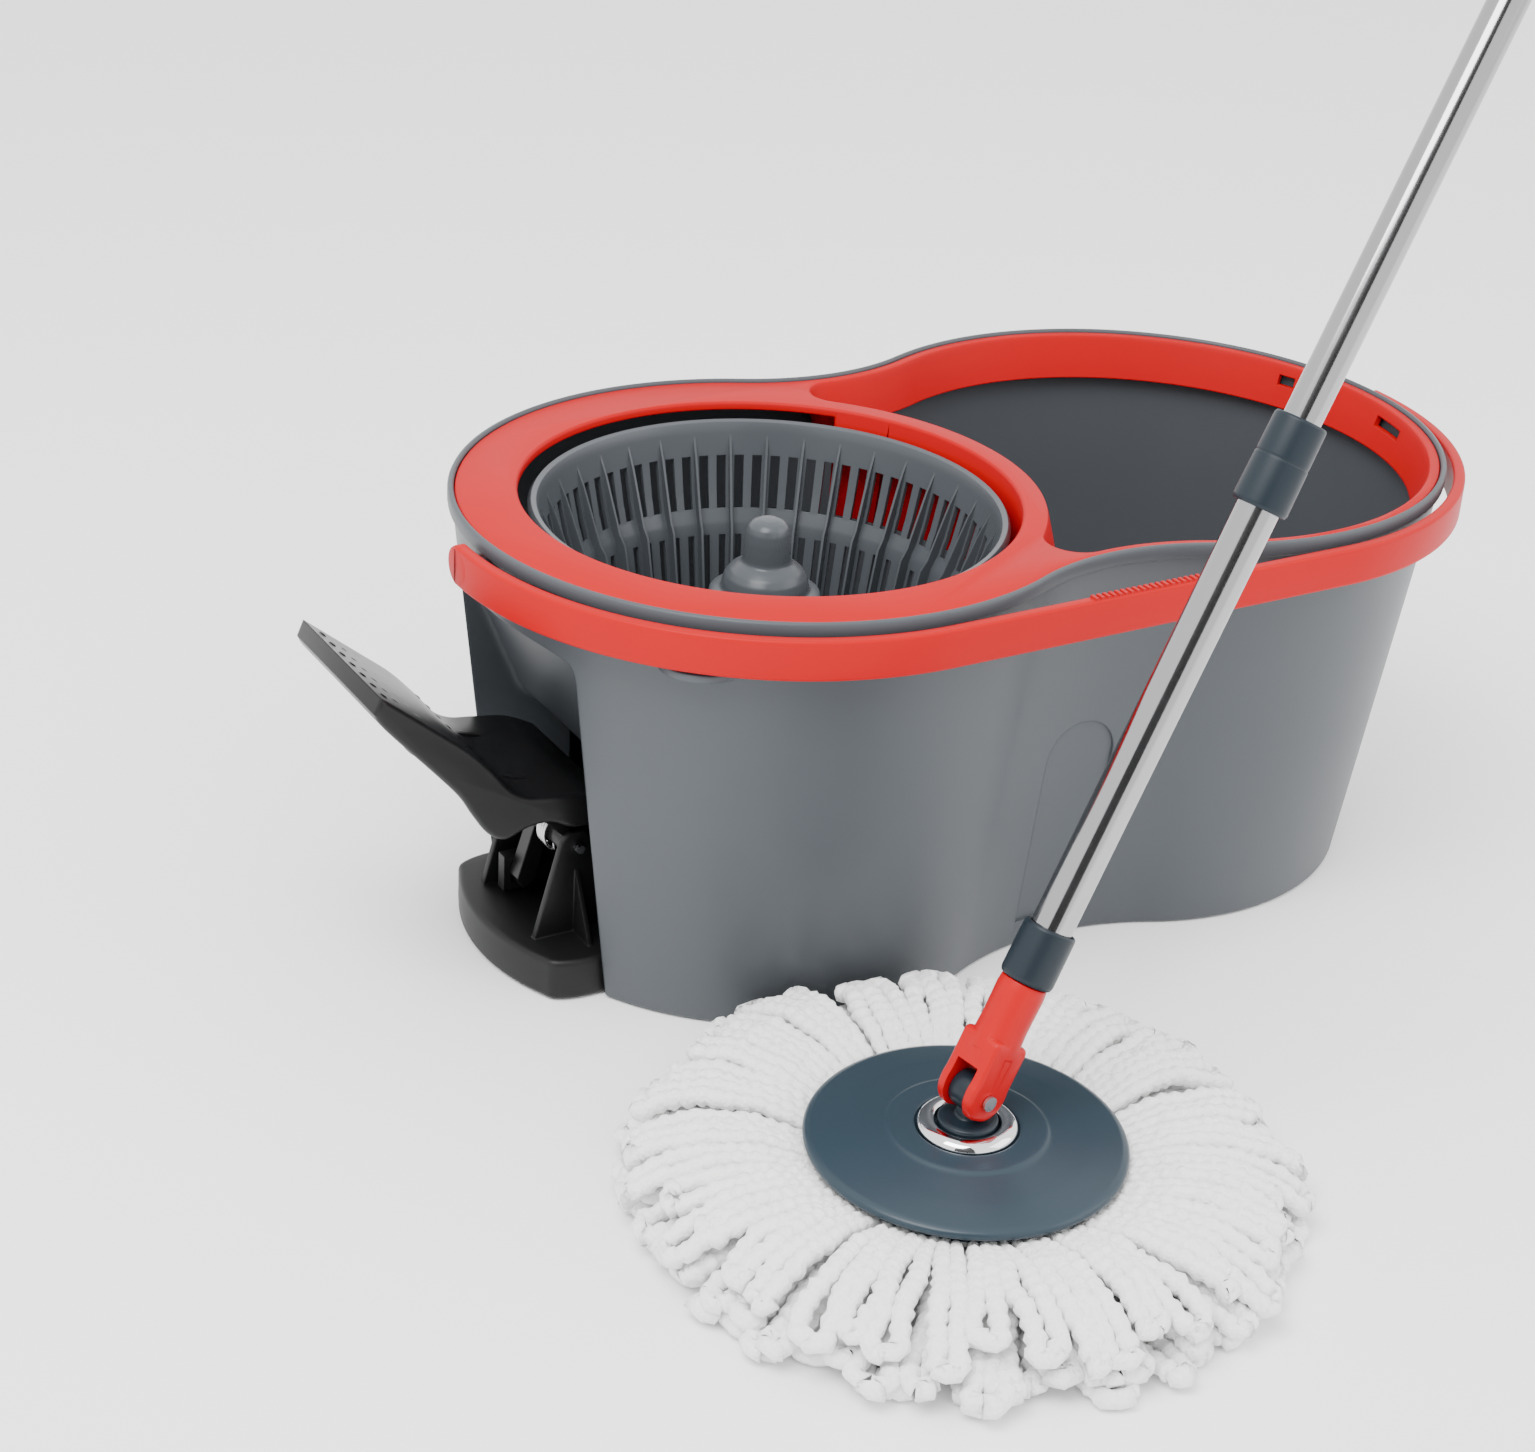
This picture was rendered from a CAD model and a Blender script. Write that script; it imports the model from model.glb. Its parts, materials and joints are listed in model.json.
"""Looks of the spin mop set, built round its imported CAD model.

Shells that the CAD keeps coarse are drawn again smoothly, the fringe gets its strands, and every piece gets a
procedural material. +Z is up, X runs along the bucket and all sizes are in metres, in the CAD model's frame.
"""

import json
import math
import random

import bmesh
import bpy
from bpy.props import FloatProperty, FloatVectorProperty, IntProperty, PointerProperty
from mathutils import Matrix, Vector, noise


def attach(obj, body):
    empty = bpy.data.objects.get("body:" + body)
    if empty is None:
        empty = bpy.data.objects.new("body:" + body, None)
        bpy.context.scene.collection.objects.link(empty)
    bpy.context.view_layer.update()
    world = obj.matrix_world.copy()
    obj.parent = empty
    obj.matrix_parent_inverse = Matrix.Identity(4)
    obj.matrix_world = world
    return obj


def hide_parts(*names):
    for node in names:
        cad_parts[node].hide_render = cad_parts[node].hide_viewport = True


bl_info = {
    "name": "Spin mop set looks",
    "version": (1, 0, 0),
    "blender": (4, 5, 0),
    "location": "View3D > Sidebar > Spin Mop",
    "description": "Detailed shells, mop strands, materials and studio for a spin mop set",
    "category": "Object",
}

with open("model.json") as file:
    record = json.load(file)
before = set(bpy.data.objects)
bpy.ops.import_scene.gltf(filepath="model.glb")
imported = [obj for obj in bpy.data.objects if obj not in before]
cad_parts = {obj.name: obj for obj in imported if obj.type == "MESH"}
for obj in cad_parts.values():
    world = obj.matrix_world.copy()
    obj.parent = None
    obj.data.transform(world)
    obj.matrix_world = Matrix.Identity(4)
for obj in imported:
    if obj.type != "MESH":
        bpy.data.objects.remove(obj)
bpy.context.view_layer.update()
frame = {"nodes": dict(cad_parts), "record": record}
JOINTS = {joint["name"]: joint for joint in frame["record"]["behaviour"]["joints"]}
SPIN = Vector(JOINTS["basket_spin"]["pos_m"])
MOP = Vector(JOINTS["head_swivel"]["pos_m"])
PIVOT = Vector(JOINTS["pedal_press"]["pos_m"])
POLE_AT = Vector(JOINTS["pole_tilt"]["pos_m"])
POLE_AXIS = Vector(JOINTS["pole_slide"]["axis"]).normalized()
HEADING = math.atan2(POLE_AXIS.y, POLE_AXIS.x)
HANDLE_Z = JOINTS["handle_swing"]["pos_m"][2]
WATER = Vector((-SPIN.x, 0.0, 0.0))

LOBE_X = -SPIN.x
LOBE_R = 0.140
WAIST_Y = 0.118
BASE_INSET = 0.0233
WALL = 0.0026
RIM_OVERHANG = 0.0022
LEAN_TOP = 0.195
LEAN_HEIGHT = 0.192
RIM_Z = 0.202
CHAMBER_R = 0.086
CHAMBER_Z = 0.0844
NOTCH_HALF = 0.055
COVER_Z = 0.2008
MOUTH_R = 0.1096
CURTAIN_LOW = 0.1480
CURTAIN_HALF = 43.5
PARTITION_R = 0.121
MOUTH_LEDGE = 0.0080
MOUTH_CORNER = 0.014
LIP_Z = 0.180
HANDLE_R = 0.1462
HANDLE_LOW = 0.1810
HANDLE_HIGH = 0.1985
LOWER_TUBE_R = 0.0085
UPPER_TUBE_R = 0.0076
TUBE_FIT = 0.0002
TOWER_ANGLES = (48, 118, -118, -48)
TOWER_PLACE_R = 0.076
PEDAL_ARM = 0.032
PEDAL_ARM_REST = math.radians(17)
SPRING_COIL_R = 0.0089
STRAND_CLEAR_R = 0.1252
ON_AXIS = 1e-6
CAMERA_AT = (-0.700, -0.963, 0.659)
CAMERA_ANGLES = (32.1, 26.8, 3.7)


# ---------------------------------------------------------------- settings a user would change
class SpinMopColours(bpy.types.PropertyGroup):
    """Base colours of the mouldings and the fringe."""

    grey: FloatVectorProperty(
        name="Grey", description="Bucket and basket plastic", subtype="COLOR", default=(0.060, 0.067, 0.075)
    )
    red: FloatVectorProperty(
        name="Red", description="Splash guard, handle and yoke", subtype="COLOR", default=(0.42, 0.0, 0.003)
    )
    black: FloatVectorProperty(
        name="Black", description="Pedal and drive base", subtype="COLOR", default=(0.0045, 0.0045, 0.005)
    )
    slate: FloatVectorProperty(
        name="Slate", description="Mop plate", subtype="COLOR", default=(0.020, 0.034, 0.046)
    )
    collar: FloatVectorProperty(
        name="Collar", description="Pole collars and swivel", subtype="COLOR", default=(0.007, 0.013, 0.019)
    )
    yarn: FloatVectorProperty(
        name="Yarn", description="Microfibre strands", subtype="COLOR", default=(0.93, 0.93, 0.925)
    )


class SpinMopSizes(bpy.types.PropertyGroup):
    """Counts and sizes of the fine detail."""

    slots: IntProperty(name="Slots", description="Slots in each tier of the basket", default=72, min=24)
    loops: IntProperty(name="Loops", description="Strand loops in each layer", default=46, min=12)
    strand: FloatProperty(
        name="Strand radius", description="Radius of one strand", default=0.0042, unit="LENGTH"
    )
    dimples: IntProperty(name="Tread rows", description="Rows of studs on the pedal", default=7, min=2)


class SpinMopStudio(bpy.types.PropertyGroup):
    """Light and camera."""

    key: FloatProperty(name="Key", description="Power of the key light", default=42.0, unit="POWER")
    fill: FloatProperty(name="Fill", description="Power of the fill light", default=16.0, unit="POWER")
    world: FloatProperty(name="Surround", description="Brightness of the surround", default=1.9)
    lens: FloatProperty(name="Lens", description="Focal length", default=65.67, unit="CAMERA")


# ---------------------------------------------------------------- shape helpers
def to_object(name, bm, outward=True):
    """Links a new object that holds the bmesh, and frees it."""
    if outward:
        bmesh.ops.recalc_face_normals(bm, faces=bm.faces)
    mesh = bpy.data.meshes.new(name)
    bm.to_mesh(mesh)
    bm.free()
    obj = bpy.data.objects.new(name, mesh)
    bpy.context.scene.collection.objects.link(obj)
    return obj


def around(centre, radius, degrees):
    """The point at an angle on a circle."""
    a = math.radians(degrees)
    return (centre[0] + radius * math.cos(a), centre[1] + radius * math.sin(a))


def arc(centre, radius, start, end, steps):
    """Points along an arc, angles in degrees, both ends included."""
    return [around(centre, radius, start + (end - start) * i / steps) for i in range(steps + 1)]


def turn(count):
    """The angles of a full turn in equal steps."""
    return [2 * math.pi * i / count for i in range(count)]


def circle(radius, z, count, centre=(0, 0)):
    """A level ring of points."""
    return [(centre[0] + radius * math.cos(a), centre[1] + radius * math.sin(a), z) for a in turn(count)]


def sided(side, a, b):
    """Two distances from the middle, on one side of it, lowest first."""
    return sorted((side * a, side * b))


def skin_rows(bm, rows, cap=True):
    """Skins rows of vertices in order, and caps the ends or joins the last row to the first."""
    for a, b in zip(rows, rows[1:] if cap else [*rows[1:], rows[0]]):
        for i in range(len(a)):
            j = (i + 1) % len(a)
            bm.faces.new((a[i], a[j], b[j], b[i]))
    if cap:
        bm.faces.new(rows[0][::-1])
        bm.faces.new(rows[-1])


def eased(points, radius, steps=3, closed=True):
    """The outline with its corners rounded off."""
    count = len(points)
    out = []
    for i, p in enumerate(points):
        if not closed and i in (0, count - 1):
            out.append(tuple(p))
            continue
        p = Vector(p)
        a = Vector(points[i - 1])
        b = Vector(points[(i + 1) % count])
        cut_a = min(radius, 0.45 * (a - p).length)
        cut_b = min(radius, 0.45 * (b - p).length)
        start = p + (a - p).normalized() * cut_a
        end = p + (b - p).normalized() * cut_b
        for k in range(steps + 1):
            t = k / steps
            out.append(tuple((1 - t) ** 2 * start + 2 * t * (1 - t) * p + t * t * end))
    return out


def lathe(name, profile, segments=96, centre=(0, 0), ease=0.0, steps=3):
    """A turned solid from (radius, height) points; points on the axis close it."""
    if ease:
        on_axis = min(r for r, _ in profile) < ON_AXIS
        profile = eased(profile, ease, steps, closed=not on_axis)
    bm = bmesh.new()
    rows = []
    for r, z in profile:
        ring = [(centre[0], centre[1], z)] if r < ON_AXIS else circle(r, z, segments, centre)
        rows.append([bm.verts.new(p) for p in ring])
    pairs = list(zip(rows, rows[1:]))
    if len(rows[0]) > 1 and len(rows[-1]) > 1:
        pairs.append((rows[-1], rows[0]))
    for a, b in pairs:
        for i in range(segments):
            j = (i + 1) % segments
            corners = [a[i % len(a)], b[i % len(b)], b[j % len(b)], a[j % len(a)]]
            corners = list(dict.fromkeys(corners))
            if len(corners) > 2:
                bm.faces.new(corners)
    return to_object(name, bm)


def loft(name, rings, cap=True):
    """A solid skinned over closed rings of the same point count."""
    bm = bmesh.new()
    skin_rows(bm, [[bm.verts.new(p) for p in ring] for ring in rings], cap)
    return to_object(name, bm)


def slab(name, outline, low, high, axis="Z", ease=0.0, steps=3):
    """A flat plate from one closed outline, with rounded-over edges where ease is given."""
    levels = [(low, 0.0), (high, 0.0)]
    if ease:
        angles = [math.pi / 2 * k / steps for k in range(steps + 1)]
        edge = [(low + ease * (1 - math.sin(a)), ease * (1 - math.cos(a))) for a in angles]
        levels = sorted(edge) + sorted((low + high - z, d) for z, d in edge)
    rings = [[(x, y, z) for x, y in inset(outline, d)] for z, d in levels]
    obj = loft(name, rings)
    if axis == "Y":
        obj.data.transform(Matrix(((1, 0, 0, 0), (0, 0, 1, 0), (0, 1, 0, 0), (0, 0, 0, 1))))
        face_outward(obj)
    return obj


def face_outward(obj):
    """Recalculates a closed mesh's normals."""
    bm = bmesh.new()
    bm.from_mesh(obj.data)
    bmesh.ops.recalc_face_normals(bm, faces=bm.faces)
    bm.to_mesh(obj.data)
    bm.free()


def inset(outline, distance):
    """Moves an outline inward by a small distance, along the bisector at each point."""
    if not distance:
        return list(outline)
    area = sum(a[0] * b[1] - b[0] * a[1] for a, b in zip(outline, list(outline[1:]) + [outline[0]]))
    sign = 1 if area > 0 else -1
    out = []
    count = len(outline)
    for i, p in enumerate(outline):
        a = Vector(outline[i - 1])
        b = Vector(outline[(i + 1) % count])
        p = Vector(p)
        u = (p - a).normalized()
        v = (b - p).normalized()
        normal = Vector((-(u.y + v.y), u.x + v.x))
        if normal.length < 1e-9:
            normal = Vector((-u.y, u.x))
        normal.normalize()
        reach = distance / max(0.5, normal.dot(Vector((-v.y, v.x))))
        out.append(tuple(p + normal * reach * sign))
    return out


def rod(name, radius, low, high, axis="Z", centre=(0, 0), segments=40, ease=0.0003):
    """A round bar between two heights along an axis."""
    profile = [(0.0, high), (radius, high), (radius, low), (0.0, low)]
    obj = lathe(name, profile, segments, ease=ease, steps=2)
    if axis == "Y":
        obj.data.transform(Matrix.Rotation(math.pi / 2, 4, "X") @ Matrix.Diagonal((1, 1, -1, 1)))
        obj.data.transform(Matrix.Translation((centre[0], 0, centre[1])))
        face_outward(obj)
    elif axis == "X":
        place = Matrix.Translation((0, centre[0], centre[1]))
        obj.data.transform(place @ Matrix.Rotation(math.pi / 2, 4, "Y"))
    else:
        obj.data.transform(Matrix.Translation((centre[0], centre[1], 0)))
    return obj


def block(name, low, high, angle=0.0, about=(0, 0)):
    """A box from corner to corner, turned about an upright line."""
    bm = bmesh.new()
    bmesh.ops.create_cube(bm, size=1.0)
    size = [b - a for a, b in zip(low, high)]
    middle = [(a + b) / 2 for a, b in zip(low, high)]
    bm.transform(Matrix.Translation(middle) @ Matrix.Diagonal((*size, 1.0)))
    pivot = Matrix.Translation((about[0], about[1], 0.0))
    bm.transform(pivot @ Matrix.Rotation(angle, 4, "Z") @ pivot.inverted())
    return to_object(name, bm)


def merged(name, objects):
    """Several shells in one piece."""
    bm = bmesh.new()
    for obj in objects:
        bm.from_mesh(obj.data)
        bpy.data.objects.remove(obj, do_unlink=True)
    return to_object(name, bm, outward=False)


def carve(obj, tool, operation="DIFFERENCE"):
    """Applies one exact Boolean and drops the tool."""
    mod = obj.modifiers.new("carve", "BOOLEAN")
    mod.operation = operation
    mod.solver = "EXACT"
    mod.object = tool
    bpy.context.view_layer.update()
    graph = bpy.context.evaluated_depsgraph_get()
    mesh = bpy.data.meshes.new_from_object(obj.evaluated_get(graph))
    obj.modifiers.clear()
    obj.data = mesh
    bpy.data.objects.remove(tool, do_unlink=True)


def sweep(name, path, section):
    """A band whose section (outward, up) follows a level path of (x, y) points; its ends are capped."""
    bm = bmesh.new()
    rows = []
    for i, p in enumerate(path):
        a = Vector(path[max(i - 1, 0)])
        b = Vector(path[min(i + 1, len(path) - 1)])
        along = (b - a).normalized()
        side = Vector((along.y, -along.x))
        rows.append([bm.verts.new((p[0] + side.x * u, p[1] + side.y * u, z)) for u, z in section])
    skin_rows(bm, rows)
    return to_object(name, bm)


def strand(bm, path, radii, sides, shape=None):
    """Adds a round strand along a path; shape(k, point) gives each vertex its share of the radius."""
    rows = []
    side = (path[1] - path[0]).normalized().orthogonal().normalized()
    for i, p in enumerate(path):
        along = (path[min(i + 1, len(path) - 1)] - path[max(i - 1, 0)]).normalized()
        side = (side - along * side.dot(along)).normalized()
        other = along.cross(side)
        ring = []
        for k, a in enumerate(turn(sides)):
            out = side * math.cos(a) + other * math.sin(a)
            ring.append(bm.verts.new(p + out * radii[i] * (shape(k, p) if shape else 1.0)))
        rows.append(ring)
    skin_rows(bm, rows)


def curve_through(points, steps=4):
    """A smooth line through the points (Catmull-Rom)."""
    out = []
    for i in range(len(points) - 1):
        p0 = Vector(points[max(i - 1, 0)])
        p1 = Vector(points[i])
        p2 = Vector(points[i + 1])
        p3 = Vector(points[min(i + 2, len(points) - 1)])
        for k in range(steps):
            t = k / steps
            square = (2 * p0 - 5 * p1 + 4 * p2 - p3) * t * t
            cube = (3 * p1 - p0 - 3 * p2 + p3) * t**3
            out.append(0.5 * (2 * p1 + (p2 - p0) * t + square + cube))
    out.append(Vector(points[-1]))
    return out


def on_pole(obj):
    """Stands a piece, drawn about the yoke pin with the pole along +Z, on the leaning pole."""
    tilt = math.acos(POLE_AXIS.z)
    turn = Matrix.Rotation(HEADING, 4, "Z") @ Matrix.Rotation(tilt, 4, "Y")
    obj.data.transform(Matrix.Translation(POLE_AT) @ turn)
    return obj


def show(obj, body, slot, *nodes, angle=32):
    """Finishes a piece: shading, material, the body it rides on and the nodes it stands for."""
    obj.data.shade_smooth()
    obj.data.set_sharp_from_angle(angle=math.radians(angle))
    obj.data.materials.clear()
    obj.data.materials.append(finish_of(slot))
    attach(obj, body)
    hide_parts(*nodes)


# ---------------------------------------------------------------- shared effects, as node groups
def effect(name, inputs, outputs):
    """An empty shader node group with float inputs (name, default) and outputs (name, socket type)."""
    group = bpy.data.node_groups.new(name, "ShaderNodeTree")
    for label, value in inputs:
        socket = group.interface.new_socket(label, in_out="INPUT", socket_type="NodeSocketFloat")
        socket.default_value = value
    for label, kind in outputs:
        group.interface.new_socket(label, in_out="OUTPUT", socket_type=kind)
    enter = group.nodes.new("NodeGroupInput")
    leave = group.nodes.new("NodeGroupOutput")
    return group, enter, leave


def add_node(group, kind, values=(), **settings):
    """A shader node with its settings and the values of its unlinked inputs."""
    node = group.nodes.new("ShaderNode" + kind)
    for name, value in settings.items():
        setattr(node, name, value)
    for label, value in dict(values).items():
        node.inputs[label].default_value = value
    return node


def wire(group, *links):
    """Links (node, output) to (node, input)."""
    for source, output, target, entry in links:
        group.links.new(source.outputs[output], target.inputs[entry])


def grain_effect():
    """Fine moulded grain with rounded-over edges: a normal and a faint mottling value."""
    group, enter, leave = effect(
        "moulded_grain",
        [("Grain", 900.0), ("Depth", 0.12), ("Edge", 0.0006)],
        [("Normal", "NodeSocketVector"), ("Mottle", "NodeSocketFloat")],
    )
    place = add_node(group, "TexCoord")
    fine = add_node(group, "TexNoise", {"Detail": 2.0})
    broad = add_node(group, "TexNoise", {"Scale": 14.0, "Detail": 3.0})
    edge = add_node(group, "Bevel", samples=4)
    bump = add_node(group, "Bump", {"Distance": 0.0002})
    wire(
        group,
        (place, "Object", fine, "Vector"),
        (place, "Object", broad, "Vector"),
        (enter, "Grain", fine, "Scale"),
        (enter, "Depth", bump, "Strength"),
        (enter, "Edge", edge, "Radius"),
        (fine, "Fac", bump, "Height"),
        (edge, "Normal", bump, "Normal"),
        (bump, "Normal", leave, "Normal"),
        (broad, "Fac", leave, "Mottle"),
    )
    return group


def yarn_effect():
    """Nubby chenille: a normal and a value that is low in the middle of each tuft."""
    group, enter, leave = effect(
        "chenille",
        [("Tuft", 620.0), ("Depth", 0.8)],
        [("Normal", "NodeSocketVector"), ("Hollow", "NodeSocketFloat")],
    )
    place = add_node(group, "TexCoord")
    tufts = add_node(group, "TexVoronoi", feature="SMOOTH_F1")
    fuzz = add_node(group, "TexNoise", {"Scale": 2600.0})
    total = add_node(group, "Math", {1: 0.35}, operation="MULTIPLY_ADD")
    bump = add_node(group, "Bump", {"Distance": 0.0008}, invert=True)
    wire(
        group,
        (place, "Object", tufts, "Vector"),
        (place, "Object", fuzz, "Vector"),
        (enter, "Tuft", tufts, "Scale"),
        (enter, "Depth", bump, "Strength"),
        (fuzz, "Fac", total, 0),
        (tufts, "Distance", total, 2),
        (total, 0, bump, "Height"),
        (bump, "Normal", leave, "Normal"),
        (tufts, "Distance", leave, "Hollow"),
    )
    return group


def drawn_effect():
    """Faint draw marks on steel: a normal and a value for the streaks."""
    group, enter, leave = effect(
        "drawn_metal",
        [("Scale", 60.0), ("Depth", 0.03)],
        [("Normal", "NodeSocketVector"), ("Streak", "NodeSocketFloat")],
    )
    place = add_node(group, "TexCoord")
    marks = add_node(group, "TexNoise", {"Detail": 4.0})
    bump = add_node(group, "Bump", {"Distance": 0.0001})
    wire(
        group,
        (place, "Object", marks, "Vector"),
        (enter, "Scale", marks, "Scale"),
        (enter, "Depth", bump, "Strength"),
        (marks, "Fac", bump, "Height"),
        (bump, "Normal", leave, "Normal"),
        (marks, "Fac", leave, "Streak"),
    )
    return group


EFFECTS = {}


def use_effect(tree, maker, **values):
    """Places an effect in a material; its node group is made once."""
    if maker not in EFFECTS:
        EFFECTS[maker] = maker()
    return add_node(tree, "Group", values, node_tree=EFFECTS[maker])


def ranged(tree, source, low, high):
    """Maps a 0..1 value to a range."""
    node = tree.nodes.new("ShaderNodeMapRange")
    node.inputs["To Min"].default_value = low
    node.inputs["To Max"].default_value = high
    tree.links.new(source, node.inputs["Value"])
    return node.outputs["Result"]


def toned(tree, source, colour, dark, light):
    """A colour that a 0..1 value takes from a darker to a lighter tone."""
    node = tree.nodes.new("ShaderNodeMix")
    node.data_type = "RGBA"
    node.inputs["A"].default_value = (*[c * dark for c in colour], 1.0)
    node.inputs["B"].default_value = (*[min(1.0, c * light) for c in colour], 1.0)
    tree.links.new(source, node.inputs["Factor"])
    return node.outputs["Result"]


def start_material(name):
    mat = bpy.data.materials.new(name)
    mat.use_nodes = True
    return mat, mat.node_tree, mat.node_tree.nodes["Principled BSDF"]


def plastic(name, colour, rough, depth=0.12, edge=0.0006, shine=0.28):
    mat, tree, shader = start_material(name)
    fx = use_effect(tree, grain_effect, Depth=depth, Edge=edge)
    tree.links.new(fx.outputs["Normal"], shader.inputs["Normal"])
    tree.links.new(toned(tree, fx.outputs["Mottle"], colour, 0.93, 1.07), shader.inputs["Base Color"])
    tree.links.new(ranged(tree, fx.outputs["Mottle"], rough - 0.05, rough + 0.05), shader.inputs["Roughness"])
    shader.inputs["Specular IOR Level"].default_value = shine
    return mat


def metal(name, colour, rough, scale=60.0, depth=0.03):
    mat, tree, shader = start_material(name)
    fx = use_effect(tree, drawn_effect, Scale=scale, Depth=depth)
    shader.inputs["Metallic"].default_value = 1.0
    tree.links.new(fx.outputs["Normal"], shader.inputs["Normal"])
    tree.links.new(toned(tree, fx.outputs["Streak"], colour, 0.97, 1.03), shader.inputs["Base Color"])
    tree.links.new(ranged(tree, fx.outputs["Streak"], rough * 0.7, rough * 1.3), shader.inputs["Roughness"])
    return mat


def yarn_material(name, colour):
    mat, tree, shader = start_material(name)
    fx = use_effect(tree, yarn_effect, Tuft=620.0, Depth=0.8)
    tree.links.new(fx.outputs["Normal"], shader.inputs["Normal"])
    tree.links.new(toned(tree, fx.outputs["Hollow"], colour, 1.04, 0.86), shader.inputs["Base Color"])
    shader.inputs["Roughness"].default_value = 0.95
    shader.inputs["Sheen Weight"].default_value = 0.5
    shader.inputs["Subsurface Weight"].default_value = 0.25
    shader.inputs["Subsurface Radius"].default_value = (0.004, 0.004, 0.004)
    return mat


WHITE = (0.84, 0.84, 0.83)
ACETAL = (0.72, 0.71, 0.67)
STEEL = (0.36, 0.36, 0.37)

# slot: colour or the name of a setting, roughness, depth of grain, rounding of edges, shine
PLASTICS = {
    "bucket_grey": ("grey", 0.40, 0.14, 0.0012),
    "basket_grey": ("grey", 0.30, 0.06, 0.0005),
    "post_grey": ("grey", 0.28, 0.04, 0.0004),
    "guard_red": ("red", 0.46, 0.08, 0.0008, 0.10),
    "handle_red": ("red", 0.42, 0.06, 0.0006, 0.12),
    "yoke_red": ("red", 0.34, 0.05, 0.0006, 0.16),
    "cap_red": ("red", 0.34, 0.05, 0.0006, 0.16),
    "base_black": ("black", 0.46, 0.20, 0.0010),
    "pedal_black": ("black", 0.34, 0.10, 0.0010),
    "gear_acetal": ("black", 0.45),
    "lid_grey": ((0.10, 0.11, 0.12), 0.5),
    "plate_slate": ("slate", 0.30, 0.05, 0.0006),
    "swivel_slate": ("collar", 0.36, 0.06, 0.0005),
    "collar_dark": ("collar", 0.42, 0.12, 0.0005),
    "lock_dark": ("collar", 0.42, 0.12, 0.0005),
    "grip_dark": ("collar", 0.62, 0.20, 0.0004),
    "seal_rubber": ((0.02, 0.02, 0.02), 0.75),
    "refill_white": (WHITE, 0.5, 0.06),
    "plug_white": (ACETAL, 0.5),
    "step_gear_acetal": (ACETAL, 0.5),
    "clutch_acetal": (ACETAL, 0.5),
}

# slot: colour, roughness, scale and depth of the draw marks
METALS = {
    "ring_chrome": ((0.80, 0.80, 0.82), 0.07, 30.0, 0.01),
    "bush_bronze": ((0.55, 0.38, 0.18), 0.35),
    "tube_steel": (STEEL, 0.13),
    "upper_steel": (STEEL, 0.13),
}
SMALL_STEEL = ((0.60, 0.60, 0.62), 0.28, 200.0)

MATERIALS = {}


def make_finish(slot):
    """A new material for one of the record's slots; screws, pins and springs share one recipe."""
    tones = bpy.context.scene.spin_mop_colours
    if slot == "fringe_white":
        return yarn_material(slot, tones.yarn)
    if slot in PLASTICS:
        colour, *rest = PLASTICS[slot]
        return plastic(slot, getattr(tones, colour) if isinstance(colour, str) else colour, *rest)
    return metal(slot, *METALS.get(slot, SMALL_STEEL))


def finish_of(slot):
    """The material for one of the record's slots, made once."""
    if slot not in MATERIALS:
        MATERIALS[slot] = make_finish(slot)
    return MATERIALS[slot]


# ---------------------------------------------------------------- the bucket's outline
WAIST_R = (LOBE_R**2 - LOBE_X**2 - WAIST_Y**2) / (2 * (WAIST_Y - LOBE_R))
WAIST_C = WAIST_Y + WAIST_R
TANGENT = math.degrees(math.atan2(WAIST_C, -LOBE_X))


def peanut(inset_by, lobe_steps=80, waist_steps=24):
    """The two-lobed outline, moved inward."""
    lobe = LOBE_R - inset_by
    waist = WAIST_R + inset_by
    loop = arc((LOBE_X, 0), lobe, -TANGENT, TANGENT, lobe_steps)
    loop += arc((0, WAIST_C), waist, TANGENT - 180, -TANGENT, waist_steps)[1:-1]
    loop += arc((-LOBE_X, 0), lobe, 180 - TANGENT, 180 + TANGENT, lobe_steps)
    loop += arc((0, -WAIST_C), waist, TANGENT, 180 - TANGENT, waist_steps)[1:-1]
    return loop


def wall_inset(z):
    """Inset of the leaning outer wall at a height."""
    return RIM_OVERHANG + (BASE_INSET - RIM_OVERHANG) * (LEAN_TOP - z) / LEAN_HEIGHT


def water_mouth(inward):
    """The water side's opening, with round ends at the partition."""
    outer = MOUTH_LEDGE + inward
    near = PARTITION_R + inward
    small = MOUTH_CORNER - inward
    reach = PARTITION_R + MOUTH_CORNER
    drop = WAIST_R + MOUTH_LEDGE + MOUTH_CORNER
    span = math.hypot(LOBE_X, WAIST_C)
    along = (reach**2 - drop**2 + span**2) / (2 * span)
    off = math.sqrt(reach**2 - along**2)
    ux, uy = LOBE_X / span, WAIST_C / span
    cx = -LOBE_X + along * ux + off * uy
    cy = along * uy - off * ux
    to_basket = math.degrees(math.atan2(-cy, -LOBE_X - cx))
    to_waist = math.degrees(math.atan2(WAIST_C - cy, -cx))
    half = math.degrees(math.atan2(cy, cx + LOBE_X))
    waist_from = math.degrees(math.atan2(cy - WAIST_C, cx))
    end = arc((cx, cy), small, to_waist, to_basket + 360, 16)
    waist = arc((0, WAIST_C), WAIST_R + outer, TANGENT - 180, waist_from, 16)[1:-1]
    loop = arc((LOBE_X, 0), LOBE_R - outer, -TANGENT, TANGENT, 90)
    loop += waist + end
    loop += arc((-LOBE_X, 0), near, half, -half, 48)[1:-1]
    loop += [(x, -y) for x, y in (waist + end)[::-1]]
    return loop


def ring_at(loop, z):
    """The outline at a height."""
    return [(x, y, z) for x, y in loop]


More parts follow.
